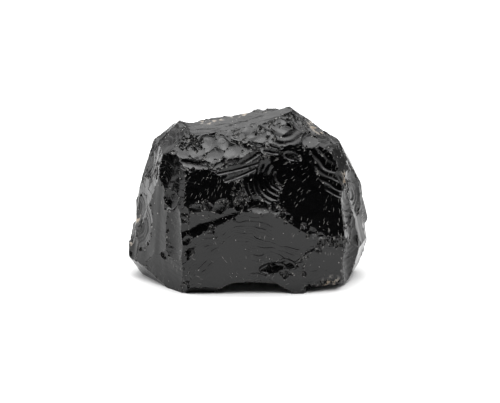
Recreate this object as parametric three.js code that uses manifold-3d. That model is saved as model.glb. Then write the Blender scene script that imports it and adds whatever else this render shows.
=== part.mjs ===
// A fist-sized chunk of obsidian: one piece of black volcanic glass, broken on every side.
// Millimetres. X runs along the long side, -Y faces the viewer, +Z is up, and Z = 0 is the flat
// patch that the stone rests on.
//
// Glass breaks in shallow dishes. Each blow takes one flake off and leaves one dish, so the stone
// is made the same way: a block is struck blow by blow, and every face is what one flake left.
import * as THREE from 'three';
import { mergeVertices } from 'three/addons/utils/BufferGeometryUtils.js';
import Module from 'manifold-3d';

const BLOCK_LENGTH = 100; // the raw block, larger all round than the stone that is left
const BLOCK_DEPTH = 70;
const BLOCK_HEIGHT = 72;
const WASTE_HEIGHT = 90; // how far a struck-off piece reaches out from its scar
const FACET = 3.3; // side of the small flat facets that follow a dish
const REACH = 1.8; // how far past its own length and width a scar's surface carries on

const wasm = await Module();
wasm.setup();

function toSolid(geometry) {
  geometry.deleteAttribute('normal');
  geometry.deleteAttribute('uv');
  const merged = mergeVertices(geometry, 1e-4);
  return new wasm.Manifold(
    new wasm.Mesh({
      numProp: 3,
      vertProperties: new Float32Array(merged.attributes.position.array),
      triVerts: new Uint32Array(merged.index.array),
    }),
  );
}

function toGeometry(solid) {
  const { vertProperties, triVerts, numProp } = solid.getMesh();
  const geometry = new THREE.BufferGeometry();
  const points = new Float32Array((vertProperties.length / numProp) * 3);
  for (let i = 0; i < points.length / 3; i += 1) {
    points.set(vertProperties.subarray(i * numProp, i * numProp + 3), i * 3);
  }
  geometry.setAttribute('position', new THREE.BufferAttribute(points, 3));
  geometry.setIndex(new THREE.BufferAttribute(new Uint32Array(triVerts), 1));
  const flat = geometry.toNonIndexed();
  flat.computeVertexNormals();
  return flat;
}

// The scar's own axes. It faces `facing` degrees round from the viewer (0 is -Y, 90 is +X) and
// `tilt` degrees above the horizon, and the fracture ran `travel` degrees clockwise from upward.
function scarAxes(facing, tilt, travel) {
  const [turn, rise, run] = [facing, tilt, travel].map(THREE.MathUtils.degToRad);
  const outward = new THREE.Vector3(
    Math.sin(turn) * Math.cos(rise),
    -Math.cos(turn) * Math.cos(rise),
    Math.sin(rise),
  );
  const right = new THREE.Vector3(Math.cos(turn), Math.sin(turn), 0);
  const up = outward.clone().cross(right);
  const along = up.multiplyScalar(Math.cos(run)).addScaledVector(right, Math.sin(run));
  const across = outward.clone().cross(along);
  return new THREE.Matrix4().makeBasis(along, across, outward);
}

// What one blow removes: a slab whose underside is a dish. `hollow` is how much the dish rises
// from its middle to the edge of its length and width; a negative hollow leaves a swelling. With
// a `rim` the scar turns up steeply past that edge.
function flake({ seat, facing, tilt, travel = 0, length, width, hollow, rim = 0, reach = REACH }) {
  const [slabLength, slabWidth] = [length * reach, width * reach];
  const slab = new THREE.BoxGeometry(
    slabLength,
    slabWidth,
    WASTE_HEIGHT,
    Math.ceil(slabLength / FACET),
    Math.ceil(slabWidth / FACET),
    1,
  );
  const points = slab.attributes.position;
  for (let i = 0; i < points.count; i += 1) {
    if (points.getZ(i) < 0) {
      const rise = (2 * points.getX(i) / length) ** 2 + (2 * points.getY(i) / width) ** 2;
      const step = rim * Math.max(Math.sqrt(rise) - 1, 0);
      points.setZ(i, points.getZ(i) + hollow * rise + step);
    }
  }
  slab.translate(0, 0, WASTE_HEIGHT / 2);
  slab.applyMatrix4(scarAxes(facing, tilt, travel));
  slab.translate(...seat);
  return toSolid(slab);
}

// A smaller blow, placed where its dish is to be `depth` deep below the surface that it strikes.
function chip({ place, depth, ...aim }) {
  const outward = new THREE.Vector3().setFromMatrixColumn(scarAxes(aim.facing, aim.tilt, 0), 2);
  const seat = new THREE.Vector3(...place).addScaledVector(outward, -depth);
  return flake({ seat: seat.toArray(), hollow: depth, ...aim });
}

const frontBlows = [
  // the large arched face low in front, struck from below
  { seat: [2, -23, 16], facing: 1, tilt: -2.6, length: 64, width: 84, hollow: 1.3 },
  // the deep dark hollow at the upper right, struck from the right shoulder
  { seat: [17.3, -16.3, 38.9], facing: 19, tilt: 21, travel: 235, length: 56, width: 60, hollow: 2.4 },
  // the dark band at the upper left
  { seat: [-11.5, -20.3, 38.7], facing: -4, tilt: 21, travel: 180, length: 40, width: 46, hollow: 1.2 },
  // the two bright bevels under the crest, and the small dished one below the peak
  { seat: [-12.3, -15.5, 48.2], facing: -8, tilt: 42, travel: 180, length: 30, width: 40, hollow: 0.9 },
  { seat: [3.3, -14, 52.8], facing: 6, tilt: 45, travel: 180, length: 30, width: 40, hollow: 0.9 },
  { seat: [13.4, -12.4, 51.9], facing: 18, tilt: 35, travel: 180, length: 30, width: 30, hollow: 1 },
  // the lower right corner, set back behind a crack
  { seat: [25.6, -21.2, 10.2], facing: 13, tilt: -3, length: 36, width: 40, hollow: 0.6 },
];

const topBlows = [
  // the plateau, rising to the peak on the right and turned up into a small hump on the left
  { seat: [2, -2.8, 57.3], facing: -72, tilt: 77.3, length: 44, width: 60, hollow: 1.3, rim: 20 },
  { seat: [24.4, -1.7, 52.9], facing: 63, tilt: 50, length: 50, width: 50, hollow: 1.2 },
  { seat: [21.6, 4.6, 56.6], facing: 125, tilt: 48, length: 50, width: 50, hollow: 0.8 },
  // the corner at the left end of the crest
  { seat: [-30.2, 2, 51.7], facing: -90, tilt: 50, length: 30, width: 30, hollow: 0.6 },
  { seat: [-31.2, 2, 52.2], facing: -54, tilt: 53, length: 40, width: 40, hollow: 0.8 },
  { seat: [-21.5, -12.9, 50.6], facing: -25, tilt: 49, length: 40, width: 40, hollow: 0.6 },
];

const leftBlows = [
  // the long grey cheek, the black wedge beside the front ridge, and the fluted strip above
  { seat: [-30.6, -15.3, 26.5], facing: -52, tilt: 3, length: 80, width: 44, hollow: 2 },
  { seat: [-26, -14.6, 45.5], facing: -30, tilt: 17, travel: 180, length: 44, width: 26, hollow: 1.2 },
  { seat: [-32.5, -4.8, 45], facing: -72, tilt: 17, travel: 180, length: 50, width: 40, hollow: 1.5 },
  // the ringed scar at the left edge and the swelling under it
  { seat: [-39.5, -2.2, 23.9], facing: -66, tilt: 14, length: 40, width: 40, hollow: 1 },
  { seat: [-43.5, 0, 12.9], facing: -80, tilt: 4, length: 50, width: 40, hollow: -1 },
  { seat: [-41, 3, 27.2], facing: -95, tilt: 17.5, length: 60, width: 60, hollow: 0.6 },
  // the triangle at the lower left and the undercut below it
  { seat: [-28.7, -17.5, 7.9], facing: -44, tilt: -8, length: 36, width: 36, hollow: 0.6 },
  { seat: [-33.6, -9, 1], facing: -58, tilt: -34, length: 40, width: 40, hollow: 1 },
  { seat: [-41.9, 2, 5.5], facing: -92, tilt: -30, length: 40, width: 40, hollow: 1 },
];

const rightBlows = [
  { seat: [36.2, 0, 40.9], facing: 64, tilt: 28, length: 50, width: 50, hollow: 0.8 },
  { seat: [38.6, 2, 37.1], facing: 88, tilt: 28, length: 50, width: 50, hollow: 0.6 },
  { seat: [38.6, -5, 23.7], facing: 66, tilt: 12, length: 50, width: 50, hollow: 1.2 },
  { seat: [44.5, 4, 21.2], facing: 95, tilt: 4, length: 60, width: 60, hollow: 0.6 },
  { seat: [38.2, -8, 6.6], facing: 72, tilt: -14, length: 50, width: 50, hollow: 0.6 },
  { seat: [42.3, 2, 6.6], facing: 78, tilt: -42, length: 50, width: 50, hollow: 1 },
];

const undersideBlows = [
  // the arch under the front edge, and the lower right edge lifted off the ground
  { seat: [1.5, -17, 3.4], facing: 0, tilt: -80, length: 36, width: 17, hollow: 0.6, rim: 3.5, reach: 1.6 },
  { seat: [30.5, -14, 1.4], facing: 14, tilt: -82, length: 26, width: 20, hollow: 0.4, rim: 6, reach: 1.4 },
];

const backBlows = [
  // the slope behind the crest
  { seat: [4.8, 11.4, 60.2], facing: 186, tilt: 46, length: 80, width: 80, hollow: 1 },
  { seat: [-23, 14, 49], facing: 212, tilt: 34, length: 40, width: 44, hollow: 1.6 },
  { seat: [24, 13, 45], facing: 150, tilt: 30, length: 40, width: 44, hollow: 1.8 },
  // the upright back, in three dishes
  { seat: [1, 22.5, 26], facing: 181, tilt: 5, travel: 180, length: 56, width: 50, hollow: 1.8 },
  { seat: [-27, 16.5, 24], facing: 218, tilt: 4, travel: 200, length: 50, width: 44, hollow: 1.6 },
  { seat: [28, 17, 22], facing: 144, tilt: 3, travel: 170, length: 50, width: 44, hollow: 1.8 },
  // the undercut foot
  { seat: [0, 19.5, 4], facing: 180, tilt: -38, length: 40, width: 60, hollow: 1.4 },
  { seat: [29, 13.5, 3.5], facing: 138, tilt: -36, length: 36, width: 36, hollow: 1 },
  { seat: [-30, 12.5, 3.5], facing: 224, tilt: -36, length: 36, width: 36, hollow: 1 },
];

const smallerBlows = [
  // the trough beside the left ridge, and the ringed scars under the peak and at the left edge
  { place: [-20.8, -23.7, 24.9], facing: 3, tilt: -2, travel: 152, length: 7.5, width: 22, depth: 1.1 },
  { place: [-13.5, -23.7, 27.6], facing: 3, tilt: 0, travel: 163, length: 5, width: 24, depth: 0.8 },
  { place: [29, -10.2, 44.6], facing: 26, tilt: 22, travel: 211, length: 26, width: 22, depth: 1.1 },
  { place: [-38.6, -2.6, 25.5], facing: -60, tilt: 10, travel: 85, length: 9, width: 12, depth: 1 },
  // the curved scars down the right edge
  { place: [36.4, -10.6, 27], facing: 50, tilt: 10, travel: 175, length: 20, width: 11, depth: 1.5 },
  { place: [36, -12.4, 9.5], facing: 46, tilt: -6, travel: 170, length: 17, width: 9, depth: 1.4 },
  // across the ridges of the back
  { place: [-15, 23.6, 38], facing: 198, tilt: 14, travel: 185, length: 24, width: 20, depth: 2.2 },
  { place: [15, 23.2, 34], facing: 162, tilt: 10, travel: 175, length: 26, width: 18, depth: 2 },
  { place: [-15, 23.8, 15], facing: 200, tilt: -6, travel: 10, length: 20, width: 17, depth: 1.8 },
  { place: [14, 24, 14], facing: 163, tilt: -8, travel: -10, length: 18, width: 16, depth: 1.6 },
  { place: [0, 22.3, 48.5], facing: 182, tilt: 26, travel: 180, length: 14, width: 22, depth: 1.8 },
  { place: [-1, 23.7, 12], facing: 181, tilt: 4, travel: 0, length: 16, width: 20, depth: 1 },
  { place: [-24, 18.5, 45], facing: 214, tilt: 20, travel: 180, length: 16, width: 20, depth: 1.8 },
  { place: [23, 19, 43], facing: 146, tilt: 18, travel: 180, length: 16, width: 18, depth: 1.8 },
  { place: [-27, 16.5, 26], facing: 222, tilt: 6, travel: 190, length: 18, width: 20, depth: 1.2 },
  { place: [28, 17, 24], facing: 144, tilt: 4, travel: 180, length: 20, width: 18, depth: 1.2 },
  // across the edges of the two ends
  { place: [39.8, 9, 28], facing: 118, tilt: 8, travel: 180, length: 26, width: 16, depth: 2.2 },
  { place: [38.5, 9, 12], facing: 120, tilt: -8, travel: 0, length: 18, width: 15, depth: 1.8 },
  { place: [-39.6, 8, 30], facing: 246, tilt: 12, travel: 180, length: 22, width: 16, depth: 2 },
  { place: [-42.9, 5, 12], facing: 256, tilt: -4, travel: 0, length: 18, width: 14, depth: 1.6 },
];

function knapStone() {
  const block = new THREE.BoxGeometry(BLOCK_LENGTH, BLOCK_DEPTH, BLOCK_HEIGHT);
  block.translate(0, 0, BLOCK_HEIGHT / 2);
  const blows = [frontBlows, topBlows, leftBlows, rightBlows, undersideBlows, backBlows].flat();
  const faces = blows.reduce((stone, blow) => stone.subtract(flake(blow)), toSolid(block));
  return smallerBlows.reduce((stone, blow) => stone.subtract(chip(blow)), faces);
}

const obsidian = new THREE.MeshStandardMaterial({ color: 0x0c0c0d, roughness: 0.1, metalness: 0 });

const chunk = new THREE.Mesh(toGeometry(knapStone()), obsidian);
chunk.name = 'obsidian_chunk';

const part = new THREE.Group();
part.add(chunk);

export default part;
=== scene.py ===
import math
import random

import bmesh
import bpy
from mathutils import Matrix, Vector


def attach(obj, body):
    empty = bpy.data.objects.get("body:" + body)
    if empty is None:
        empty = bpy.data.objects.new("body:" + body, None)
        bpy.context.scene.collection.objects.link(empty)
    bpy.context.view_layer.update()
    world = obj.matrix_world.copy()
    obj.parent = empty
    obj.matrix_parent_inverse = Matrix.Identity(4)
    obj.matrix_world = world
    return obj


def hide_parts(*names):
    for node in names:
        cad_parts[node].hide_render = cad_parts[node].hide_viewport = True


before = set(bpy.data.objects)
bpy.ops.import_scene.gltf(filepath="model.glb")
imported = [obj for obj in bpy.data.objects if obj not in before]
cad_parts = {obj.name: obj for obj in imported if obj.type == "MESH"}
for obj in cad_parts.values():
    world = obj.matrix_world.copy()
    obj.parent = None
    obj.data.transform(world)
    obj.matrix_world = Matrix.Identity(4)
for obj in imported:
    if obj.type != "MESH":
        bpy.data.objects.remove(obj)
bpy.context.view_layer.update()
MM = 0.001

# ---------------------------------------------------------------------------------------------
# The studio: a plain white floor, a white tent lit from above and from both sides, and a dark
# opening in the tent in front. Black glass shows little but what it mirrors, so the tent's
# bright roof and walls and its dark opening draw every face of the stone.
# ---------------------------------------------------------------------------------------------


class Wire:
    """An output of a node. Sums and products of wires add Math nodes to the wire's tree."""

    def __init__(self, tree, socket):
        self.tree = tree
        self.socket = socket

    def math(self, operation, *operands):
        values = dict(enumerate(operands))
        return add_node(self.tree, "ShaderNodeMath", {"operation": operation}, values)

    def output(self, name):
        return Wire(self.tree, self.socket.node.outputs[name])

    def __add__(self, other):
        return self.math("ADD", self, other)

    def __radd__(self, other):
        return self.math("ADD", other, self)

    def __sub__(self, other):
        return self.math("SUBTRACT", self, other)

    def __rsub__(self, other):
        return self.math("SUBTRACT", other, self)

    def __mul__(self, other):
        return self.math("MULTIPLY", self, other)

    def __rmul__(self, other):
        return self.math("MULTIPLY", other, self)

    def __truediv__(self, other):
        return self.math("DIVIDE", self, other)

    def __rtruediv__(self, other):
        return self.math("DIVIDE", other, self)

    def __pow__(self, other):
        return self.math("POWER", self, other)

    def __lt__(self, other):
        return self.math("LESS_THAN", self, other)

    def __gt__(self, other):
        return self.math("GREATER_THAN", self, other)

    def sine(self):
        return self.math("SINE", self)

    def root(self):
        return self.math("SQRT", self)

    def at_least(self, floor):
        return self.math("MAXIMUM", self, floor)

    def at_most(self, ceiling):
        return self.math("MINIMUM", self, ceiling)

    def ramp(self, start, end):
        """0 at start and below, 1 at end and beyond, smooth between; start may be the larger."""
        settings = {"interpolation_type": "SMOOTHSTEP"}
        limits = {"Value": self, "From Min": start, "From Max": end}
        return add_node(self.tree, "ShaderNodeMapRange", settings, limits)


def add_node(tree, kind, settings=None, values=None, output=0):
    """Adds one node: its settings first, then each named socket's value, wire or list of wires."""
    node = tree.nodes.new(kind)
    for name, setting in (settings or {}).items():
        setattr(node, name, setting)
    for name, value in (values or {}).items():
        if isinstance(value, (Wire, list)):
            for wire in value if isinstance(value, list) else [value]:
                tree.links.new(wire.socket, node.inputs[name])
        else:
            node.inputs[name].default_value = value
    return Wire(tree, node.outputs[output]) if len(node.outputs) else node


FLOOR_WIDTH = 6.0
FLOOR_GREY = 0.72
FLOOR_ROUGHNESS = 0.9

floor_mesh = bpy.data.meshes.new("floor")
half_floor = FLOOR_WIDTH / 2
corners = [(-1, -1), (1, -1), (1, 1), (-1, 1)]
floor_corners = [(x * half_floor, y * half_floor, 0) for x, y in corners]
floor_mesh.from_pydata(floor_corners, [], [(0, 1, 2, 3)])
floor = bpy.data.objects.new("floor", floor_mesh)
bpy.context.scene.collection.objects.link(floor)

paper = bpy.data.materials.new("white paper")
paper.use_nodes = True
paper_shader = paper.node_tree.nodes["Principled BSDF"]
paper_shader.inputs["Base Color"].default_value = (FLOOR_GREY, FLOOR_GREY, FLOOR_GREY, 1)
paper_shader.inputs["Roughness"].default_value = FLOOR_ROUGHNESS
paper_shader.inputs["Specular IOR Level"].default_value = 0
floor_mesh.materials.append(paper)

WALL_LIGHT = 0.66  # how bright each part of the tent is
ROOF_LIGHT = 3.6
ROOF_LAMP_LIGHT = 2.4  # more of it straight overhead
OPENING_LIGHT = 0.006
OPENING_TOP_LIGHT = 0.06
BACK_SHADE = 0.7  # how much darker the tent is behind the stone

# Where each of them fades in or out, on a ball of radius 1 round the stone: roof and lamp by
# height, back by depth, and the opening by depth at its sides and by height at its top.
ROOF_FADE = (0.3, 0.8)
ROOF_LAMP_FADE = (0.90, 0.99)
BACK_FADE = (0.1, 0.6)
OPENING_SIDE_FADE = (0.15, -0.25)
OPENING_TOP_FADE = (0.86, 0.70)
OPENING_LIGHT_FADE = (0.2, 0.75)

tent = bpy.data.worlds.new("tent")
bpy.context.scene.world = tent
tent.use_nodes = True
sky = tent.node_tree
direction = add_node(sky, "ShaderNodeTexCoord", output="Generated")
parts = add_node(sky, "ShaderNodeSeparateXYZ", values={"Vector": direction})
backward, upward = parts.output("Y"), parts.output("Z")
roof = ROOF_LIGHT * upward.ramp(*ROOF_FADE) + ROOF_LAMP_LIGHT * upward.ramp(*ROOF_LAMP_FADE)
tent_light = (WALL_LIGHT + roof) * (1 - BACK_SHADE * backward.ramp(*BACK_FADE))
opening = backward.ramp(*OPENING_SIDE_FADE) * upward.ramp(*OPENING_TOP_FADE)
dim = OPENING_LIGHT + OPENING_TOP_LIGHT * upward.ramp(*OPENING_LIGHT_FADE)
seen_by_stone = tent_light * (1 - opening) + dim
grey = add_node(
    sky, "ShaderNodeCombineXYZ", values={"X": seen_by_stone, "Y": seen_by_stone, "Z": seen_by_stone}
)
to_camera = add_node(sky, "ShaderNodeLightPath", output="Is Camera Ray")
white = (1, 1, 1, 1)
backdrop = add_node(
    sky, "ShaderNodeMix", {"data_type": "RGBA"}, {"Factor": to_camera, "A": grey, "B": white}, "Result"
)
sky.links.new(backdrop.socket, sky.nodes["Background"].inputs["Color"])


STONE_MIDDLE = Vector((0, 0, 0.03))


def add_softbox(name, place, size, radiance):
    """A rectangular lamp aimed at the middle of the stone. Its power follows from its radiance."""
    lamp = bpy.data.lights.new(name, "AREA")
    lamp.shape = "RECTANGLE"
    lamp.size, lamp.size_y = size
    lamp.energy = size[0] * size[1] * math.pi * radiance
    box = bpy.data.objects.new(name, lamp)
    bpy.context.scene.collection.objects.link(box)
    box.location = place
    aim = STONE_MIDDLE - Vector(place)
    box.rotation_euler = aim.to_track_quat("-Z", "Y").to_euler()


SIDE_BOX = (0.9, 0.7)
BACK_BOX = (1.6, 0.5)
add_softbox("left softbox", (-0.9, 0.10, 0.35), SIDE_BOX, radiance=1.7)
add_softbox("right softbox", (0.9, 0.06, 0.35), SIDE_BOX, radiance=0.7)
add_softbox("back softbox", (0, 1.1, 0.6), BACK_BOX, radiance=0.7)

CAMERA_RISE = math.radians(15)
CAMERA_DISTANCE = 0.5
CAMERA_TARGET = Vector((0.0005, 0, 0.0274))
camera_data = bpy.data.cameras.new("camera")
camera_data.lens = 100
camera_data.sensor_width = 36
camera = bpy.data.objects.new("camera", camera_data)
bpy.context.scene.collection.objects.link(camera)
to_lens = Vector((0, -math.cos(CAMERA_RISE), math.sin(CAMERA_RISE)))
camera.location = CAMERA_TARGET + CAMERA_DISTANCE * to_lens
camera.rotation_euler = (-to_lens).to_track_quat("-Z", "Y").to_euler()
bpy.context.scene.camera = camera
bpy.context.scene.view_settings.view_transform = "Standard"

# ---------------------------------------------------------------------------------------------
# The stone: one lump of natural black glass, broken all round. Glass breaks in shallow dishes
# that are rippled round the point of each blow, so the stone is made by striking flakes off a
# block, largest first. All its sizes are in millimetres until it is finished.
# ---------------------------------------------------------------------------------------------

GRAIN = 1.0  # spacing of the points that follow a scar's surface
BLOCK = (100, 70, 72)

FLAKE_INPUTS = {
    "Half length": 10,  # of the dish, along the way the fracture ran
    "Half width": 10,
    "Hollow": 1,  # how far the dish rises from its middle to its edge
    "Reach": 1.8,  # how far past that edge the scar carries on
    "Thickness": 90,
    "Rim": 0,  # how steeply the scar turns up past the edge
    "Blow distance": 10,  # from the point of the blow to the middle of the scar
    "Blow aside": 0,
    "Ring spacing": 3,  # ripples round the point of the blow
    "Ring height": 0,
    "Ring from": 0,
    "Ring to": 200,
    "Flute count": 5,  # grooves that fan out from the blow, to a radian
    "Flute height": 0,
    "Rough height": 0.15,
    "Rough size": 5,
    "Ledges": 0.5,  # strength of the finer ripples drawn by the glass
    "Number": 0,
    "Grain": 1,
    "Fineness": 1,
}


RING_DRIFT = 2.2  # how far the rings wander in and out, in ring spacings
RING_SHARPNESS = 0.5
SLOW_RING_PACE = 0.43  # a slower wave makes some of the rings taller than others
SLOW_RING_START = 1.3
SLOW_RING_SHARE = 0.6
FAINTEST_RING = 0.25
RING_FADE = 1.5  # over which the rings begin and end
FLUTE_DEEPENING = 0.1  # flutes grow deeper with each millimetre from the blow
FLUTE_WANDER = 0.02


def build_flake():
    """The tree of one struck-off flake: a slab whose underside is the scar that it leaves."""
    tree = bpy.data.node_groups.new("flake", "GeometryNodeTree")
    sockets = tree.interface
    sockets.new_socket("Seat", in_out="INPUT", socket_type="NodeSocketVector")
    sockets.new_socket("Turn", in_out="INPUT", socket_type="NodeSocketRotation")
    for name, value in FLAKE_INPUTS.items():
        sockets.new_socket(name, in_out="INPUT", socket_type="NodeSocketFloat").default_value = value
    sockets.new_socket("Flake", in_out="OUTPUT", socket_type="NodeSocketGeometry")
    given = add_node(tree, "NodeGroupInput")

    slab_length = given.output("Half length") * given.output("Reach") * 2
    slab_width = given.output("Half width") * given.output("Reach") * 2
    slab_size = add_node(
        tree,
        "ShaderNodeCombineXYZ",
        values={"X": slab_length, "Y": slab_width, "Z": given.output("Thickness")},
    )
    grain = given.output("Grain") * given.output("Fineness")
    slab = add_node(
        tree,
        "GeometryNodeMeshCube",
        values={
            "Size": slab_size,
            "Vertices X": slab_length / grain + 2,
            "Vertices Y": slab_width / grain + 2,
            "Vertices Z": 2,
        },
    )

    place = add_node(tree, "GeometryNodeInputPosition")
    axes = add_node(tree, "ShaderNodeSeparateXYZ", values={"Vector": place})
    along, across, height = axes.output("X"), axes.output("Y"), axes.output("Z")
    reach = (along / given.output("Half length")) ** 2 + (across / given.output("Half width")) ** 2
    dish = given.output("Hollow") * reach
    rim = given.output("Rim") * (reach.root() - 1).at_least(0)

    from_blow = along + given.output("Blow distance")
    aside = across + given.output("Blow aside")
    distance = (from_blow * from_blow + aside * aside).root()
    bearing = aside.math("ARCTAN2", aside, from_blow)

    def noise(vector, scale, detail, step):
        """Soft random values that differ from scar to scar and, by `step`, from use to use."""
        values = {"Vector": vector, "Scale": scale, "Detail": detail}
        values["W"] = given.output("Number") * 3.7 + step
        return add_node(tree, "ShaderNodeTexNoise", {"noise_dimensions": "4D"}, values)

    # The rings drift in and out, swell and sink in turn, and fade away in patches.
    drift = noise(place, 0.09, 1.0, 0.1) * RING_DRIFT
    phase = (distance / given.output("Ring spacing") + drift) * math.tau
    slow_wave = (phase * SLOW_RING_PACE + SLOW_RING_START).sine()
    wave = (phase + phase.sine() * RING_SHARPNESS).sine() + slow_wave * SLOW_RING_SHARE
    patches = FAINTEST_RING + (1 - FAINTEST_RING) * noise(place, 0.11, 1.0, 0.6).ramp(0.36, 0.62)
    start, stop = given.output("Ring from"), given.output("Ring to")
    begins = distance.ramp(start - RING_FADE, start + RING_FADE)
    band = begins * distance.ramp(stop + RING_FADE, stop - RING_FADE)
    rings = given.output("Ring height") * wave * band * patches

    fan = {"X": bearing * given.output("Flute count"), "Y": distance * FLUTE_WANDER}
    spoke = add_node(tree, "ShaderNodeCombineXYZ", values=fan)
    groove = given.output("Flute height") * (noise(spoke, 1.0, 1.0, 0.3) - 0.5)
    flutes = groove * distance * FLUTE_DEEPENING
    rough_scale = 1 / given.output("Rough size")
    rough = given.output("Rough height") * (noise(place, rough_scale, 3.0, 0.8) - 0.5) * 2

    under = height < 0
    lift = (dish + rim + rings + flutes + rough) * under
    raise_by = add_node(tree, "ShaderNodeCombineXYZ", values={"Z": lift})
    shaped = add_node(
        tree, "GeometryNodeSetPosition", values={"Geometry": slab, "Offset": raise_by}
    )
    numbered = add_node(
        tree,
        "GeometryNodeStoreNamedAttribute",
        {"data_type": "FLOAT", "domain": "FACE"},
        {"Geometry": shaped, "Name": "scar", "Value": given.output("Number")},
    )
    numbered = add_node(
        tree,
        "GeometryNodeStoreNamedAttribute",
        {"data_type": "FLOAT", "domain": "FACE"},
        {"Geometry": numbered, "Name": "ledges", "Value": given.output("Ledges")},
    )
    polar = add_node(
        tree, "ShaderNodeCombineXYZ", values={"X": from_blow, "Y": aside, "Z": given.output("Number")}
    )
    marked = add_node(
        tree,
        "GeometryNodeStoreNamedAttribute",
        {"data_type": "FLOAT_VECTOR", "domain": "CORNER"},
        {"Geometry": numbered, "Name": "from_blow", "Value": polar},
    )
    half_way = add_node(tree, "ShaderNodeCombineXYZ", values={"Z": given.output("Thickness") / 2})
    lifted = add_node(
        tree, "GeometryNodeTransform", values={"Geometry": marked, "Translation": half_way}
    )
    stance = {"Translation": given.output("Seat"), "Rotation": given.output("Turn")}
    placed = add_node(tree, "GeometryNodeTransform", values={"Geometry": lifted, **stance})
    add_node(tree, "NodeGroupOutput", values={"Flake": placed})
    return tree


def scar_axes(facing, tilt, travel):
    """The scar faces `facing` degrees round from the front and `tilt` degrees above the horizon,
    and its fracture ran `travel` degrees clockwise from upward."""
    turn, rise, run = map(math.radians, (facing, tilt, travel))
    level = math.cos(rise)
    outward = Vector((math.sin(turn) * level, -math.cos(turn) * level, math.sin(rise)))
    right = Vector((math.cos(turn), math.sin(turn), 0))
    along = outward.cross(right) * math.cos(run) + right * math.sin(run)
    across = outward.cross(along)
    return Matrix((along, across, outward)).transposed().to_euler()


blows = []
chips = []


def strike(seat, facing, tilt, length, width, hollow, travel=0, into=blows, **marks):
    """Writes down one blow: the middle of its scar, the way that faces, the dish's length, width
    and hollow, and any more of the flake's inputs by name."""
    named = {name.replace("_", " ").capitalize(): value for name, value in marks.items()}
    into.append(
        {
            "Seat": seat,
            "Turn": scar_axes(facing, tilt, travel),
            "Half length": length / 2,
            "Half width": width / 2,
            "Hollow": hollow,
            "Blow distance": length / 2,
            **named,
        }
    )


CHIP_THICKNESS = 10
PIT_FINENESS = 0.4
PIT_HOLLOW = 0.15


def sink(place, facing, tilt, travel, depth):
    """The middle of a scar that lies `depth` below a place on the surface."""
    axes = scar_axes(facing, tilt, travel).to_matrix()
    return tuple(Vector(place) - depth * axes.col[2])


def chip(place, facing, tilt, length, width, depth, travel=180, fineness=0.6, **marks):
    """Writes down a small flake at a place on the surface, whose dish is `depth` deep there."""
    seat = sink(place, facing, tilt, travel, depth)
    marks = {"thickness": CHIP_THICKNESS, "fineness": fineness, **marks}
    strike(seat, facing, tilt, length, width, depth, travel, chips, **marks)


def pit(place, facing, tilt, length, width, depth, travel=180, rim=5, **marks):
    """Writes down a flat-bottomed flake with a steep edge, `depth` deep at its middle."""
    seat = sink(place, facing, tilt, travel, depth)
    marks = {"thickness": CHIP_THICKNESS, "fineness": PIT_FINENESS, "rim": rim, **marks}
    strike(seat, facing, tilt, length, width, PIT_HOLLOW, travel, chips, **marks)


FACING_SPREAD = 22
TILT_SPREAD = 14
TRAVEL_SPREAD = 40


def retouch(start, end, count, facing, tilt, size, depth, seed):
    """Writes down a row of small flakes along a ridge, uneven in size, depth and aim."""
    dice = random.Random(seed)
    for step in range(count):
        place = Vector(start).lerp(Vector(end), (step + dice.uniform(0.1, 0.9)) / count)
        length = size * dice.uniform(0.7, 1.7)
        width = size * dice.uniform(0.6, 1.3)
        new_facing = facing + dice.uniform(-FACING_SPREAD, FACING_SPREAD)
        new_tilt = tilt + dice.uniform(-TILT_SPREAD, TILT_SPREAD)
        bite = depth * dice.uniform(0.4, 1.5)
        travel = 180 + dice.uniform(-TRAVEL_SPREAD, TRAVEL_SPREAD)
        chip(place, new_facing, new_tilt, length, width, bite, travel, rough_height=0.05)


# The front, from the large arched face low down to the bright bevels under the crest.
strike(
    (2, -23, 16), 1, -2.6, 64, 84, 1.3, reach=1.5, blow_distance=17, blow_aside=0,
    ring_spacing=3.4, ring_height=0.05, ring_from=7, fineness=0.8, ledges=0.6,
)
strike(
    (17.3, -16.3, 38.9), 19, 21, 56, 60, 2.4, 235, blow_distance=21,
    ring_spacing=4.2, ring_height=0.13, ring_from=3, ring_to=20, fineness=0.6, ledges=0.3,
)
strike(
    (-11.5, -20.3, 38.7), -4, 21, 40, 46, 1.2, 180, blow_distance=16, blow_aside=-4.5,
    ring_spacing=3.0, ring_height=0.22, ring_from=8, ring_to=14, fineness=0.5, ledges=0.3,
)
strike(
    (-12.3, -15.5, 48.2), -8, 42, 30, 40, 0.9, 180, blow_distance=8, blow_aside=-5,
    ring_spacing=2.4, ring_height=0.06, ring_from=6, fineness=0.6,
)
strike(
    (3.3, -14, 52.8), 6, 45, 30, 40, 0.9, 180, blow_distance=6, ring_spacing=2.2,
    ring_height=0.08, flute_height=0.4, flute_count=9, fineness=0.6,
)
strike(
    (13.4, -12.4, 51.9), 18, 35, 30, 30, 1, 190, blow_distance=8,
    ring_spacing=2.3, ring_height=0.15, ring_from=5, ring_to=17, fineness=0.5,
)
strike((25.6, -21.2, 10.2), 13, -3, 36, 40, 0.6, ring_spacing=3, ring_height=0.02)

# The top: the plateau that rises to the peak, and the shoulders on either side of it.
strike(
    (2, -2.8, 57.3), -72, 77.3, 44, 60, 1.3, rim=20,
    ring_spacing=6, ring_height=0.08, flute_height=0.2,
)
strike((24.4, -1.7, 52.9), 63, 50, 50, 50, 1.2, ring_spacing=3, ring_height=0.04)
strike((21.6, 4.6, 56.6), 125, 48, 50, 50, 0.8, rough_height=0.3, rough_size=3)
strike((-30.2, 2, 51.7), -90, 50, 30, 30, 0.6, rough_height=0.3, rough_size=4)
strike((-31.2, 2, 52.2), -54, 53, 40, 40, 0.8, rough_height=0.2, rough_size=3)
strike((-21.5, -12.9, 50.6), -25, 49, 40, 40, 0.6, rough_height=0.3, rough_size=2)

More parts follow.
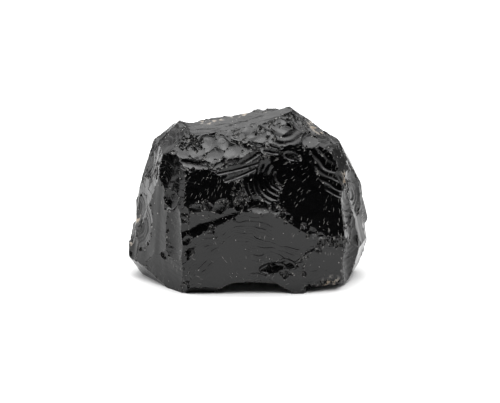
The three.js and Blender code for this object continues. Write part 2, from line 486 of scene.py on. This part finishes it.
# The left: the long cheek, the dark wedge beside the front ridge, the fluted strip above.
strike(
    (-30.6, -15.3, 26.5), -52, 3, 80, 44, 2, 180, flute_count=10, flute_height=0.3,
    ring_spacing=5, ring_height=0.03, ledges=0.2,
)
strike((-26, -14.6, 45.5), -30, 17, 44, 26, 1.2, 180, flute_count=9, flute_height=0.08, fineness=0.7)
strike((-32.5, -4.8, 45), -72, 17, 50, 40, 1.5, 180, flute_count=16, flute_height=0.8, fineness=0.6)
strike((-39.5, -2.2, 23.9), -66, 14, 40, 40, 1)
strike((-43.5, 0, 12.9), -80, 4, 50, 40, -1)
strike((-41, 3, 27.2), -95, 17.5, 60, 60, 0.6, ring_height=0.04)
strike((-28.7, -17.5, 7.9), -44, -8, 36, 36, 0.6)
strike((-33.6, -9, 1), -58, -34, 40, 40, 1, ring_height=0.06, ring_spacing=2.2, fineness=0.7)
strike((-41.9, 2, 5.5), -92, -30, 40, 40, 1)

# The right side, a row of narrow bevels.
strike((36.2, 0, 40.9), 64, 28, 50, 50, 0.8, rough_height=0.5, rough_size=3, fineness=0.7)
strike((38.6, 2, 37.1), 88, 28, 50, 50, 0.6)
strike((38.6, -5, 23.7), 66, 12, 50, 50, 1.2, 180, flute_count=9, flute_height=0.4)
strike((44.5, 4, 21.2), 95, 4, 60, 60, 0.6)
strike((38.2, -8, 6.6), 72, -14, 50, 50, 0.6)
strike((42.3, 2, 6.6), 78, -42, 50, 50, 1)

# The underside's front edge, bitten and lifted off the ground.
strike((1.5, -17, 3.4), 0, -80, 36, 17, 0.6, 0, rim=3.5, reach=1.6, rough_height=0.5, fineness=0.6)
strike((30.5, -14, 1.4), 14, -82, 26, 20, 0.4, 0, rim=6, reach=1.4, rough_height=0.4, fineness=0.7)

# The back: the slope behind the crest, three upright dishes and the undercut foot.
strike((4.8, 11.4, 60.2), 186, 46, 80, 80, 1, 180, ring_height=0.12, ring_spacing=4)
strike((-23, 14, 49), 212, 34, 40, 44, 1.6, 180, ring_height=0.12, ring_spacing=3)
strike((24, 13, 45), 150, 30, 40, 44, 1.8, 180, ring_height=0.14, ring_spacing=3.5)
strike((1, 22.5, 26), 181, 5, 56, 50, 1.8, 180, ring_height=0.17, ring_spacing=4)
strike((-27, 16.5, 24), 218, 4, 50, 44, 1.6, 200, ring_height=0.15, ring_spacing=3.5)
strike((28, 17, 22), 144, 3, 50, 44, 1.8, 170, ring_height=0.14, ring_spacing=3.2)
strike((0, 19.5, 4), 180, -38, 40, 60, 1.4)
strike((29, 13.5, 3.5), 138, -36, 36, 36, 1)
strike((-30, 12.5, 3.5), 224, -36, 36, 36, 1)

# Smaller scars on the front: the trough beside the left ridge, the crack low on the right and
# the notch at its end, and the lips along the foot.
chip((-20.8, -23.7, 24.9), 3, -2, 7.5, 22, 1.1, 152, rough_height=0.2, rough_size=6, ledges=0)
chip((-14.8, -23.7, 26.6), 3, 0, 5, 18, 0.75, 158, rough_height=0.15, rough_size=6, ledges=0)
chip((19.8, -22.7, 14.3), 5, -3, 15, 0.5, 0.6, 55, 0.3)
chip((22.6, -22.3, 16.2), 8, -3, 6, 0.9, 0.6, 58, 0.3)
pit((8.4, -22.6, 9.3), -6, 19, 3.5, 8.4, 0.75, 168, rough_height=0.4)
pit((13.6, -22.6, 10.8), 10, 14, 3.3, 6, 0.65, 205, rough_height=0.4)
pit((13.2, -22.6, 7.2), -4, 14, 1.6, 4.5, 0.4)
pit((-20, -24, 15), -4, 15, 3, 4.4, 0.5, rough_height=0.3)
chip((-14, -23.5, 2.0), -2, -52, 7, 18, 0.8)
chip((20.7, -21.4, 2.2), 8, -40, 3.2, 2.4, 1.6, 180, 0.3)

# The ledges of the wavy band between the bright bevels and the dark scar on the left.
chip((-16, -16.9, 46.4), -6, 16, 3.4, 10, 0.5, 172, 0.35)
chip((-17, -18.0, 44.6), -8, 47, 4.0, 14, 0.7, 188, 0.35)
chip((-8.2, -18.9, 42.6), 4, 46, 2.0, 13, 0.5, 168, 0.35)
chip((-6.6, -19.9, 40.3), 6, 45, 1.8, 11, 0.45, 160, 0.35)
chip((-2.6, -18.0, 45.0), 8, 46, 2.2, 9, 0.5, 150, 0.35)

# Under the peak: the pit, the ringed scar that runs down to the right and the crack beside it.
chip((29, -10.2, 44.6), 26, 22, 26, 22, 1.1, 211, 0.5, ring_height=0.22, ring_spacing=3.2, ledges=0.8)
pit((26.7, -9.4, 49.5), 16, 14, 6, 5, 0.7, 190)
chip((8.5, -15.7, 48.9), 20, 46, 2.0, 10, 0.5, 197, 0.35)
chip((9.7, -14.9, 50.3), 20, 46, 1.6, 6, 0.4, 205, 0.35)
pit((15.1, -13.9, 47.6), 12, 12, 3.2, 5.5, 0.5, 195, rim=2, rough_height=0.35)
chip((19.2, -6.8, 55.2), 38, 34, 11, 1.1, 0.9, 148, 0.3)
pit((16.5, -3.5, 58.2), 30, 20, 2.4, 3, 0.6)
pit((25.5, 1.5, 55), 95, 48, 8, 9, 1.1, 180)
pit((22, -7.5, 51.5), 30, 44, 5, 8, 0.6, 160)
pit((-26.2, -17.5, 32.5), -34, 14, 6, 4.4, 0.5, 184, rim=3)

# Wavy bands beside the dark scar, curved scars down the right edge, and the broken tips of the
# two humps on the crest.
arcs = {"blow_distance": 6.5, "ring_spacing": 2.2}
bands = {"blow_distance": 8, "ring_spacing": 1.7, "ring_height": 0.16}
chip((0.5, -20.2, 41.2), 2, 26, 9, 10, 0.5, 215, 0.4, **bands)
chip((5.5, -20.8, 36), 8, 28, 10, 12, 0.6, 230, 0.4, **bands)
chip((36.4, -10.6, 27), 50, 10, 20, 11, 1.5, 175, 0.45, **arcs, ring_height=0.1)
chip((36, -12.4, 9.5), 46, -6, 17, 9, 1.4, 170, 0.45, **arcs, ring_height=0.1)
chip((38.6, -5, 25), 68, 20, 17, 9, 0.6, 180, 0.45, **arcs, ring_height=0.1)
chip((-22, 1, 56.6), -20, 70, 7, 9, 0.7, 150)
chip((9.2, 10.5, 60.6), 182, 60, 8, 9, 0.9, 180)

# Smaller scars on the left: ringed bites down the edge, arcs at the foot, a strip by the ridge.
rings = {"blow_distance": 4, "ring_spacing": 1.3, "ring_height": 0.13, "ledges": 0}
chip((-35.5, -1.5, 43), -58, 14, 10, 15, 1.1, 95, 0.4, **rings)
chip((-38.6, -2.6, 25.5), -60, 10, 9, 12, 1.0, 85, 0.35, **rings)
chip((-37.5, -7.5, 19), -52, 8, 10, 16, 0.9, 95, 0.4, **rings)
chip((-41.6, -4.6, 11.5), -48, 6, 6, 16, 1.0, 95, 0.4)
chip((-35.5, -12.5, 5.5), -50, -14, 15, 18, 1.0, 5, 0.5, **arcs, ring_height=0.14)
chip((-28.5, -19, 9), -40, -10, 12, 10, 0.6, 20, 0.5, **arcs, ring_height=0.1)
chip((-24.6, -21.8, 20), -49, 3, 17, 6, 0.4, 176, 0.4)

# Middle-sized scars on the back and both ends, across the ridges between the large ones.
waves = {"thickness": 24, "fineness": 0.9, "ring_spacing": 3.2, "ring_height": 0.13, "ledges": 0.2}
chip((-15, 23.6, 38), 198, 14, 24, 20, 2.2, 185, **waves)
chip((15, 23.2, 34), 162, 10, 26, 18, 2.0, 175, **waves)
chip((-15, 23.8, 15), 200, -6, 20, 17, 1.8, 10, **waves)
chip((14, 24, 14), 163, -8, 18, 16, 1.6, -10, **waves)
chip((0, 22.3, 48.5), 182, 26, 14, 22, 1.8, 180, **waves)
chip((-1, 23.7, 12), 181, 4, 16, 20, 1.0, 0, **waves)
chip((-24, 18.5, 45), 214, 20, 16, 20, 1.8, 180, **waves)
chip((23, 19, 43), 146, 18, 16, 18, 1.8, 180, **waves)
chip((39.8, 9, 28), 118, 8, 26, 16, 2.2, 180, **waves)
chip((38.5, 9, 12), 120, -8, 18, 15, 1.8, 0, **waves)
chip((-39.6, 8, 30), 246, 12, 22, 16, 2.0, 180, **waves)
chip((-42.9, 5, 12), 256, -4, 18, 14, 1.6, 0, **waves)
chip((-27, 16.5, 26), 222, 6, 18, 20, 1.2, 190, **waves)
chip((28, 17, 24), 144, 4, 20, 18, 1.2, 180, **waves)

# Rows of small flakes along the ridges.
retouch((-24, -13, 50.5), (-14, -13.5, 51.5), 5, -12, 38, 4.5, 0.5, 3)
retouch((-15, -11.5, 52.5), (5, -10.5, 56), 8, 0, 58, 4.2, 0.4, 4)
retouch((5, -10, 56.5), (13.9, -2.5, 59.8), 5, 20, 50, 4.0, 0.6, 5)
retouch((15, -2.5, 59.5), (24.5, -3.5, 52.2), 5, 40, 48, 4.0, 0.6, 6)
retouch((-17, -23, 31), (-3, -22.6, 35), 5, -2, 12, 3.4, 0.3, 7)
retouch((-3, -22.6, 35), (11, -22.4, 31), 5, 4, 14, 4.5, 0.45, 8)
retouch((11, -22.4, 31), (27, -21.3, 20), 5, 8, 12, 1.8, 0.15, 9)
retouch((-21.5, -22.5, 31), (-20.5, -24, 15), 4, -8, 8, 2.6, 0.35, 10)
retouch((-20, -23.8, 8), (-22, -23, 2), 2, -22, -6, 3.0, 0.3, 11)
retouch((29, -11, 46), (37, -9, 31), 5, 46, 22, 4.5, 0.6, 12)
retouch((36.6, -7, 36), (36.5, -12, 14), 6, 42, 4, 4.2, 0.6, 13)
retouch((36, -13, 12), (33, -16, 1), 3, 44, -12, 4.0, 0.5, 14)
retouch((-29, 7, 54), (-3, 11, 57.5), 7, 195, 60, 5.0, 0.5, 15)
retouch((-3, 11, 57.5), (14, 6, 60), 4, 190, 62, 4.5, 0.4, 16)
retouch((-34, 0, 49), (-27, -6, 54), 4, -62, 46, 4.0, 0.4, 17)
retouch((-39, 0, 36), (-42, 0, 14), 6, -80, 8, 5.0, 0.4, 18)
retouch((41, 0, 34), (43, 2, 12), 5, 84, 6, 5.0, 0.15, 19)
retouch((-27, 13, 49), (-10, 21, 51), 5, 205, 40, 4.5, 0.6, 20)
retouch((-10, 22, 50.5), (12, 21, 50), 6, 180, 34, 5.0, 0.6, 21)
retouch((14, 20, 48), (30, 8, 49), 5, 148, 38, 4.5, 0.6, 22)
retouch((-15, 23.6, 44), (-15, 24.2, 8), 6, 200, 4, 4.5, 0.6, 23)
retouch((15, 23.4, 42), (15, 24.4, 8), 6, 162, 4, 4.5, 0.6, 24)
retouch((-28, 17, 7), (0, 25, 7), 6, 195, -18, 4.5, 0.6, 25)
retouch((0, 25, 7), (30, 17, 7), 6, 165, -18, 4.5, 0.6, 26)
retouch((39, 9, 44), (40, 10, 8), 7, 115, 6, 4.5, 0.35, 27)
retouch((-37, 9, 44), (-41, 8, 8), 7, 245, 6, 4.5, 0.35, 28)
retouch((-21, -23.5, 1), (-6, -24, 1), 6, 0, -46, 4.5, 0.6, 29)
retouch((21, -21.5, 2.2), (34, -18, 2.8), 5, 15, -46, 4.0, 0.5, 30)
retouch((-15, -23.7, 25), (-1, -23.9, 11), 11, 0, 42, 0.7, 0.25, 31)
retouch((-4, -22.8, 3.0), (9, -22.8, 4.0), 6, 0, -20, 3.0, 0.5, 32)
retouch((-18, -13.5, 49.5), (5, -16.2, 50), 9, -3, 42, 5.5, 0.45, 33)
retouch((-16, -16, 47.2), (0, -18.2, 47), 6, 0, 34, 4.5, 0.4, 34)
retouch((-12, -11.2, 53), (5, -12.8, 53.8), 6, 0, 50, 5.0, 0.4, 35)
retouch((-36, 2, 43), (-28, 3, 54.5), 5, -85, 30, 5.0, 0.6, 37)
retouch((33, 1, 48), (40, 2, 36), 5, 80, 32, 5.0, 0.6, 38)
retouch((43, 1, 12), (40, 1, 2), 3, 75, -10, 4.0, 0.5, 39)
retouch((17, 4, 60), (30, 4, 51), 5, 70, 56, 5.0, 0.5, 40)

# Crushed places: where a blow or a knock left many small broken facets instead of one scar. Each
# has its middle, its radius and the number of shards gone from a square millimetre there.
crushed_places = [
    ((-21.5, -11.5, 52.2), 4.2, 1.9),
    ((-17.5, -12.0, 51.5), 3.2, 1.6),
    ((7.8, -9.5, 57.1), 3.0, 1.0),
    ((3.5, -10.5, 55.8), 1.6, 1.0),
    ((14.5, -3.0, 59.8), 2.6, 1.2),
    ((-21.3, -24.0, 29.0), 2.0, 1.2),
    ((-21.1, -24.3, 24.5), 1.4, 1.2),
    ((-19.6, -23.8, 14.6), 2.0, 1.0),
    ((-14.9, -23.2, 33.0), 3.0, 0.5),
    ((-3.5, -22.7, 35.5), 4.5, 0.9),
    ((10.1, -22.8, 31.6), 3.0, 1.1),
    ((30.0, -20.8, 18.5), 3.6, 1.2),
    ((26.5, -21.3, 18.5), 2.4, 1.0),
    ((36.6, -6.4, 35.2), 4.5, 0.8),
    ((34.5, -5.0, 47.0), 2.5, 0.9),
    ((26.8, -20.7, 2.4), 3.5, 0.8),
    ((32.0, -19.5, 2.4), 2.5, 0.8),
    ((-22.0, -23.0, 3.5), 2.0, 0.7),
    ((20.7, -11.1, 50.4), 2.0, 0.6),
]


def random_value(tree, kind, low, high, seed, output):
    limits = {"Min": low, "Max": high} if kind == "FLOAT" else {0: low, 1: high}
    return add_node(
        tree, "FunctionNodeRandomValue", {"data_type": kind}, {**limits, "Seed": seed}, output
    )


def subtract(tree, stone, waste):
    """Takes one solid, or a whole list of them, away from the stone."""
    settings = {"operation": "DIFFERENCE", "solver": "MANIFOLD"}
    return add_node(tree, "GeometryNodeMeshBoolean", settings, {0: stone, 1: waste})


def flag_crushed(tree, waste):
    """Marks the faces of a nick or a shard, so that the glass can be paler there."""
    settings = {"data_type": "FLOAT", "domain": "FACE"}
    values = {"Geometry": waste, "Name": "crushed", "Value": 1.0}
    return add_node(tree, "GeometryNodeStoreNamedAttribute", settings, values)


RIDGE_ANGLE = math.radians(17)
LOWEST_NICK = 0.5
AIM_SPREAD = 0.8  # how far a bite strays from straight out of the ridge
STAND_OFF = 0.62  # from the ridge out to the middle of a bite, as a share of its size
BITE_PROPORTIONS = ((0.9, 0.7, 0.5), (1.8, 1.1, 0.8))  # least and most along each axis
NO_TURN = (0.0, 0.0, 0.0)
FULL_TURN = (math.tau, math.tau, math.tau)


def nick_ridges(tree, stone, spacing, smallest, largest, seed):
    """Knocks small bites out of the ridges where two scars meet, one every `spacing` or so."""
    angle = add_node(tree, "GeometryNodeInputMeshEdgeAngle")
    place = add_node(tree, "GeometryNodeInputPosition")
    height = add_node(tree, "ShaderNodeSeparateXYZ", values={"Vector": place}, output="Z")
    scar = add_node(tree, "GeometryNodeInputNamedAttribute", {"data_type": "FLOAT"}, {"Name": "scar"})
    squares = add_node(
        tree,
        "GeometryNodeFieldOnDomain",
        {"data_type": "FLOAT", "domain": "FACE"},
        {"Value": scar * scar},
    )
    # An edge averages the numbers of its two faces. The mean of the squares less the square of
    # the mean is 0 where both belong to one scar, and at least a quarter where they don't.
    between_scars = (squares - scar * scar) > 0.1
    ridge = between_scars * (angle > RIDGE_ANGLE) * (height > LOWEST_NICK)
    normal = add_node(tree, "GeometryNodeInputNormal")
    kept = add_node(
        tree,
        "GeometryNodeStoreNamedAttribute",
        {"data_type": "FLOAT_VECTOR", "domain": "POINT"},
        {"Geometry": stone, "Name": "outward", "Value": normal},
    )
    ridges = add_node(tree, "GeometryNodeMeshToCurve", values={"Mesh": kept, "Selection": ridge})
    points = add_node(
        tree, "GeometryNodeCurveToPoints", {"mode": "LENGTH"}, {"Curve": ridges, "Length": spacing}
    )
    chance = random_value(tree, "FLOAT", 0.0, 1.0, seed, 1)
    size = smallest + (largest - smallest) * chance**3
    outward = add_node(
        tree, "GeometryNodeInputNamedAttribute", {"data_type": "FLOAT_VECTOR"}, {"Name": "outward"}
    )
    stray = (AIM_SPREAD,) * 3
    jitter = random_value(tree, "FLOAT_VECTOR", tuple(-x for x in stray), stray, seed + 3, 0)
    aim = add_node(tree, "ShaderNodeVectorMath", {"operation": "ADD"}, {0: outward, 1: jitter})
    aim = add_node(tree, "ShaderNodeVectorMath", {"operation": "NORMALIZE"}, {0: aim})
    away = {0: aim, "Scale": size * STAND_OFF}
    shift = add_node(tree, "ShaderNodeVectorMath", {"operation": "SCALE"}, away)
    points = add_node(tree, "GeometryNodeSetPosition", values={"Geometry": points, "Offset": shift})
    bite = add_node(tree, "GeometryNodeMeshIcoSphere", values={"Radius": 1.0, "Subdivisions": 1})
    shape = random_value(tree, "FLOAT_VECTOR", *BITE_PROPORTIONS, seed + 4, 0)
    scale = add_node(tree, "ShaderNodeVectorMath", {"operation": "SCALE"}, {0: shape, "Scale": size})
    turn = random_value(tree, "FLOAT_VECTOR", NO_TURN, FULL_TURN, seed + 5, 0)
    bite = {"Instance": flag_crushed(tree, bite), "Rotation": turn, "Scale": scale}
    bites = add_node(tree, "GeometryNodeInstanceOnPoints", values={"Points": points, **bite})
    return subtract(tree, stone, bites)


SHARD_SIZES = (0.3, 1.3)
SHARD_PROPORTIONS = ((0.7, 0.5, 0.3), (1.3, 1.0, 0.7))
CROWDED_SHARE = 0.5  # of a crushed place's radius, inside which the shards are as dense as it says


def crush(tree, stone, seed):
    """Breaks small angular shards out of the crushed places."""
    place = add_node(tree, "GeometryNodeInputPosition")
    crowd = add_node(tree, "ShaderNodeValue")
    crowd.socket.default_value = 0.0
    for centre, radius, density in crushed_places:
        away = add_node(
            tree, "ShaderNodeVectorMath", {"operation": "DISTANCE"}, {0: place, 1: centre}, "Value"
        )
        crowd = crowd.at_least(density * away.ramp(radius, radius * CROWDED_SHARE))
    scatter = add_node(
        tree,
        "GeometryNodeDistributePointsOnFaces",
        {"distribute_method": "RANDOM"},
        {"Mesh": stone, "Density": crowd, "Seed": seed},
    )
    long_side = random_value(tree, "FLOAT", *SHARD_SIZES, seed + 1, 1)
    shape = random_value(tree, "FLOAT_VECTOR", *SHARD_PROPORTIONS, seed + 2, 0)
    size = add_node(tree, "ShaderNodeVectorMath", {"operation": "SCALE"}, {0: shape, "Scale": long_side})
    turn = random_value(tree, "FLOAT_VECTOR", NO_TURN, FULL_TURN, seed + 3, 0)
    shard = add_node(tree, "GeometryNodeMeshIcoSphere", values={"Radius": 1.0, "Subdivisions": 1})
    shard = {"Instance": flag_crushed(tree, shard), "Rotation": turn, "Scale": size}
    shards = add_node(tree, "GeometryNodeInstanceOnPoints", values={"Points": scatter, **shard})
    return subtract(tree, stone, shards)


def build_stone(flake):
    """The tree of the whole stone: the block, one flake for each blow, then metres and material."""
    tree = bpy.data.node_groups.new("knapped stone", "GeometryNodeTree")
    sockets = tree.interface
    sockets.new_socket("Stone", in_out="INPUT", socket_type="NodeSocketGeometry")
    sockets.new_socket("Grain", in_out="INPUT", socket_type="NodeSocketFloat").default_value = 1
    sockets.new_socket("Glass", in_out="INPUT", socket_type="NodeSocketMaterial")
    sockets.new_socket("Stone", in_out="OUTPUT", socket_type="NodeSocketGeometry")
    given = add_node(tree, "NodeGroupInput", output="Grain")
    cube = add_node(tree, "GeometryNodeMeshCube", values={"Size": BLOCK})
    stone = add_node(
        tree, "GeometryNodeTransform", values={"Geometry": cube, "Translation": (0, 0, BLOCK[2] / 2)}
    )
    flakes = []
    for number, marks in enumerate(blows + chips, start=1):
        values = {**marks, "Number": number, "Grain": given}
        flakes.append(add_node(tree, "GeometryNodeGroup", {"node_tree": flake}, values))
    for waste in flakes[: len(blows)]:
        stone = subtract(tree, stone, waste)
    stone = subtract(tree, stone, flakes[len(blows) :])
    stone = nick_ridges(tree, stone, spacing=2.2, smallest=0.5, largest=1.8, seed=11)
    stone = nick_ridges(tree, stone, spacing=1.5, smallest=0.25, largest=0.65, seed=23)
    stone = crush(tree, stone, seed=31)
    metres = add_node(
        tree, "GeometryNodeTransform", values={"Geometry": stone, "Scale": (MM, MM, MM)}
    )
    real = add_node(tree, "GeometryNodeRealizeInstances", values={"Geometry": metres})
    finished = add_node(
        tree, "GeometryNodeSetMaterial", values={"Geometry": real, "Material": given.output("Glass")}
    )
    add_node(tree, "NodeGroupOutput", values={"Stone": finished})
    return tree


# ---------------------------------------------------------------------------------------------
# The glass: black all through, polished as it broke. Ripples, streaks and specks finer than the
# mesh are drawn here, in millimetres from the point of the blow that opened each scar.
# ---------------------------------------------------------------------------------------------

obsidian = bpy.data.materials.new("obsidian")
obsidian.use_nodes = True
look = obsidian.node_tree
glass = look.nodes["Principled BSDF"]
glass.inputs["IOR"].default_value = 1.5
glass.inputs["Specular IOR Level"].default_value = 0.40


def read_attribute(name, output):
    return add_node(look, "ShaderNodeAttribute", {"attribute_name": name}, output=output)


def combine(x, y, z):
    return add_node(look, "ShaderNodeCombineXYZ", values={"X": x, "Y": y, "Z": z})


def first_part(vector):
    return add_node(look, "ShaderNodeSeparateXYZ", values={"Vector": vector}, output="X")


def bend(vector, by, amount):
    """Shifts a vector by random values, so that what is drawn along it wanders."""
    values = {0: by, 1: amount, 2: vector}
    return add_node(look, "ShaderNodeVectorMath", {"operation": "MULTIPLY_ADD"}, values)


def cloud(vector, scale, detail=2.0, output="Fac"):
    """Soft random values between 0 and 1, `scale` lumps to a millimetre."""
    values = {"Vector": vector, "Scale": scale, "Detail": detail}
    return add_node(look, "ShaderNodeTexNoise", values=values, output=output)


def cells(vector, scale, output):
    """The distance to the nearest of a scatter of points, or that point's own random colour."""
    values = {"Vector": vector, "Scale": scale}
    return add_node(look, "ShaderNodeTexVoronoi", values=values, output=output)


surface = add_node(look, "ShaderNodeTexCoord", output="Object")
surface = add_node(look, "ShaderNodeVectorMath", {"operation": "SCALE"}, {0: surface, "Scale": 1 / MM})
from_blow = read_attribute("from_blow", "Vector")
axes = add_node(look, "ShaderNodeSeparateXYZ", values={"Vector": from_blow})
along, across, number = axes.output("X"), axes.output("Y"), axes.output("Z")
distance = (along * along + across * across).root()
bearing = across.math("ARCTAN2", across, along)
crushed = read_attribute("crushed", "Fac")

# Ledged ripples: each rises slowly away from the blow and then drops sharply.
RIPPLE = 2.6
RIPPLE_DRIFT = 4  # in ripples, so that they are unevenly spaced
RIPPLE_SHIFT = 0.37  # from one scar to the next
RIPPLE_HEIGHT = 0.16
FINE_RIPPLES = 3.3  # to each ripple
FINE_RIPPLE_HEIGHT = 0.03
phase = distance / RIPPLE + cloud(surface, 0.10) * RIPPLE_DRIFT + number * RIPPLE_SHIFT
rise = phase.math("FRACT", phase)
fine_phase = phase * FINE_RIPPLES
fine_rise = fine_phase.math("FRACT", fine_phase)
strength = read_attribute("ledges", "Fac") * cloud(surface, 0.07).ramp(0.35, 0.68)
ripples = RIPPLE_HEIGHT * rise.ramp(0, 0.8) * rise.ramp(1, 0.82)
fine_ripples = FINE_RIPPLE_HEIGHT * fine_rise.ramp(0, 0.7)

# Hackles: fine streaks that run away from the blow.
HACKLE_HEIGHT = 0.07
HACKLE_COUNT = 34  # to a radian
HACKLES_PER_MM = 0.16  # end to end
spoke = combine(bearing * HACKLE_COUNT, distance * HACKLES_PER_MM, number)
hackles = HACKLE_HEIGHT * cloud(spoke, 1.0, 3.0) * cloud(surface, 0.16).ramp(0.45, 0.7)

# Nowhere is the broken surface quite flat, and the crushed glass is grainy.
SWELL_HEIGHT = 0.22
SMALL_SWELL_HEIGHT = 0.05
GRAIN_HEIGHT = 0.16
swell = SWELL_HEIGHT * cloud(surface, 0.14, 1.0) + SMALL_SWELL_HEIGHT * cloud(surface, 0.6, 2.0)
grains = GRAIN_HEIGHT * crushed * cloud(surface, 2.2, 3.0)

height = strength * (ripples + fine_ripples) + hackles + swell + grains
relief = {"Height": height * MM, "Distance": 1.0}
bump = add_node(look, "ShaderNodeBump", values=relief, output="Normal")
look.links.new(bump.socket, glass.inputs["Normal"])

# Specks: tiny bruises of any shape, on fewer than a third of the places for them.
SPECKS_PER_MM = 0.62
SPECK_BEND = (1.6, 1.6, 1.6)
SPECK_LIMIT = 0.72  # places whose chance is above this have a speck
wander = cloud(surface, 0.9, 3.0, "Color")
bent = bend(surface, wander, SPECK_BEND)
speck_chance = first_part(cells(bent, SPECKS_PER_MM, "Color"))
speck = cells(bent, SPECKS_PER_MM, "Distance").ramp(0.14, 0.07) * (speck_chance > SPECK_LIMIT)

# Hair nicks: short pale strokes that fan out from the blow, crowded in patches of the dark scars
# and rare on the large front face, which is scar 1, and on all scars after the dark 2 and 3. A
# place has its stroke where its chance is above the limit there.
STROKE_COUNT = 42  # to a radian
STROKES_PER_MM = 0.3  # end to end
STROKE_SHIFT = 7  # from one scar to the next
STROKE_BEND = (1.2, 0.5, 0)
STROKE_STRENGTH = 0.36
STROKE_LIMIT = 0.68
PATCH_DROP = 0.55
FRONT_RISE = 0.42
LATER_RISE = 0.34
on_front = number < 1.5
on_later_scars = number > 3.5
strokes = combine(bearing * STROKE_COUNT, distance * STROKES_PER_MM, number * STROKE_SHIFT)
strokes = bend(strokes, wander, STROKE_BEND)
hair_chance = first_part(cells(strokes, 1.0, "Color"))
patches = cloud(surface, 0.12, 1.0).ramp(0.38, 0.6)
hair_limit = STROKE_LIMIT - PATCH_DROP * patches + FRONT_RISE * on_front + LATER_RISE * on_later_scars
hair_nick = cells(strokes, 1.0, "Distance").ramp(0.29, 0.12) * (hair_chance > hair_limit)
bruise = speck.at_least(hair_nick * STROKE_STRENGTH).at_most(1)
dusty = (crushed * cloud(surface, 1.1, 3.0).ramp(0.52, 0.68)).at_most(1)

# Where an edge is thin, light comes through the glass and it turns cream and tan. That light is painted
# into the base colour here as a pale and tan tint, not rendered through the glass. Each such place has
# its middle and its radius.
thin_edges = [
    ((-13.5, 8, 55.5), 6.0),
    ((-3.5, 10, 58), 5.0),
    ((6, 8, 59.5), 3.0),
    ((24.5, 1.5, 54.5), 5.5),
    ((-40.5, -1, 21.5), 3.0),
    ((43.5, -1, 21), 3.5),
    ((36, -8, 38), 5.0),
    ((33.5, -7, 47), 3.0),
    ((29, -20, 2), 5.0),
    ((-43, -2, 12), 3.0),
]
FULL_TINT_SHARE = 0.4  # of the radius, inside which the tint is full
near_edge = 0
for place, radius in thin_edges:
    gap = {0: surface, 1: place}
    away = add_node(look, "ShaderNodeVectorMath", {"operation": "DISTANCE"}, gap, "Value")
    near_edge = away.ramp(radius, radius * FULL_TINT_SHARE).at_least(near_edge)
# Painted light: the share of the painted glow through thin glass, ragged at its border.
painted_light_through = near_edge * cloud(surface, 0.55, 4.0).ramp(0.5, 0.62)

BLACK = (0.0008, 0.0008, 0.0009, 1)
PALE = (0.44, 0.43, 0.41, 1)
TAN = (0.30, 0.22, 0.14, 1)
TAN_SHARE = 0.8
BRUISE_PALENESS = 0.55
DUST_PALENESS = 0.35
LIGHT_THROUGH_PALENESS = 0.75
mix = {"data_type": "RGBA"}
tints = {"Factor": painted_light_through * TAN_SHARE, "A": PALE, "B": TAN}
tint = add_node(look, "ShaderNodeMix", mix, tints, "Result")
broken_share = (bruise * BRUISE_PALENESS).at_least(dusty * DUST_PALENESS)
# The painted light through thin edges paints the black glass pale and tan here, alongside the real
# bruises and dust.
pale_share = broken_share.at_least(painted_light_through * LIGHT_THROUGH_PALENESS)
shades = {"Factor": pale_share, "A": BLACK, "B": tint}
colour = add_node(look, "ShaderNodeMix", mix, shades, "Result")
look.links.new(colour.socket, glass.inputs["Base Color"])

POLISH = 0.07
DULLING = 0.10  # at most, in soft patches
BRUISE_ROUGHNESS = 0.35
CRUSHED_ROUGHNESS = 0.12
broken_roughness = BRUISE_ROUGHNESS * bruise + CRUSHED_ROUGHNESS * crushed
roughness = POLISH + DULLING * cloud(surface, 0.2, 3.0) + broken_roughness
look.links.new(roughness.socket, glass.inputs["Roughness"])

# The block goes through its tree once, and what comes out is kept as a plain mesh.
rough_block = bpy.data.objects.new("rough block", bpy.data.meshes.new("rough block"))
bpy.context.scene.collection.objects.link(rough_block)
stone_tree = build_stone(build_flake())
knapping = rough_block.modifiers.new("knapping", "NODES")
knapping.node_group = stone_tree
settings = {"Grain": GRAIN, "Glass": obsidian}
for item in stone_tree.interface.items_tree:
    if item.in_out == "INPUT" and item.name in settings:
        knapping[item.identifier] = settings[item.name]
evaluated = rough_block.evaluated_get(bpy.context.evaluated_depsgraph_get())
stone_mesh = bpy.data.meshes.new_from_object(evaluated)
bpy.data.objects.remove(rough_block)


SMALLEST_EDGE = 0.02 * MM
SHARP_WITHIN_A_SCAR = math.radians(50)
SHARP_BETWEEN_SCARS = math.radians(7)


def keep_ridges_sharp(mesh):
    """Faces shade smoothly within one scar and meet at a sharp edge where two scars meet."""
    shape = bmesh.new()
    shape.from_mesh(mesh)
    bmesh.ops.remove_doubles(shape, verts=shape.verts, dist=SMALLEST_EDGE)
    scar = shape.faces.layers.float["scar"]
    for edge in shape.edges:
        if len(edge.link_faces) == 2:
            one, other = edge.link_faces
            bend = one.normal.angle(other.normal, 0)
            limit = SHARP_WITHIN_A_SCAR if one[scar] == other[scar] else SHARP_BETWEEN_SCARS
            edge.smooth = bend < limit
    for face in shape.faces:
        face.smooth = True
    shape.to_mesh(mesh)
    shape.free()


keep_ridges_sharp(stone_mesh)
chunk = bpy.data.objects.new("knapped_obsidian", stone_mesh)
bpy.context.scene.collection.objects.link(chunk)
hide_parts("obsidian_chunk")
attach(chunk, "root")
